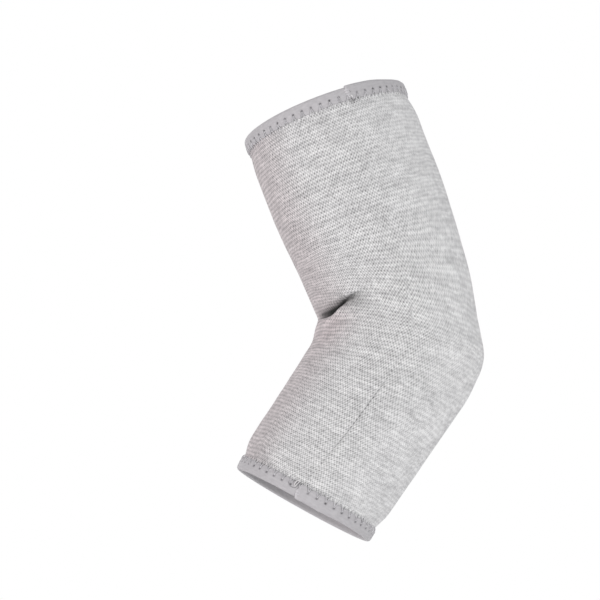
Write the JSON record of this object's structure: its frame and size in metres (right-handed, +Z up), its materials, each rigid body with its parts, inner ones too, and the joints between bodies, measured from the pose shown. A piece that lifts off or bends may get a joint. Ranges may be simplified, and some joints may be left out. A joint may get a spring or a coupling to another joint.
{
  "type": "elbow support sleeve",
  "caption": "Bent knitted elastic sleeve worn over the elbow, open at both ends, each mouth bound with a folded tape and a row of zigzag stitches.",
  "frame": {"origin": "on the elbow's hinge line, midway across the sleeve, a little nearer the crook than the point of the elbow", "axes": "+Z up along the sleeve towards the upper arm, +X towards the back of the elbow, +Y along the elbow's hinge line; the forearm bends towards -X"},
  "size_m": [0.1385, 0.095, 0.2536],
  "materials": {
    "heather_knit": "matte",
    "binding_tape": "matte",
    "sewing_thread": "matte"
  },
  "bodies": {
    "upper_arm": {"upper_knit": "heather_knit", "elbow_knit": "heather_knit", "upper_binding_tape": "binding_tape", "upper_edge_stitches": "sewing_thread", "upper_inner_stitches": "sewing_thread", "upper_lap_tack": "sewing_thread", "upper_seam_stitches": "sewing_thread", "elbow_seam_stitches": "sewing_thread"},
    "forearm": {"forearm_knit": "heather_knit", "lower_binding_tape": "binding_tape", "lower_edge_stitches": "sewing_thread", "lower_inner_stitches": "sewing_thread", "lower_lap_tack": "sewing_thread", "forearm_seam_stitches": "sewing_thread"}
  },
  "joints": [
    {"name": "elbow_flex", "type": "hinge", "parent": "upper_arm", "child": "forearm", "pos_m": [0, 0, 0], "axis": [0, 1, 0], "range_deg": [-49, 81], "deforming": ["elbow_knit", "elbow_seam_stitches"]}
  ]
}
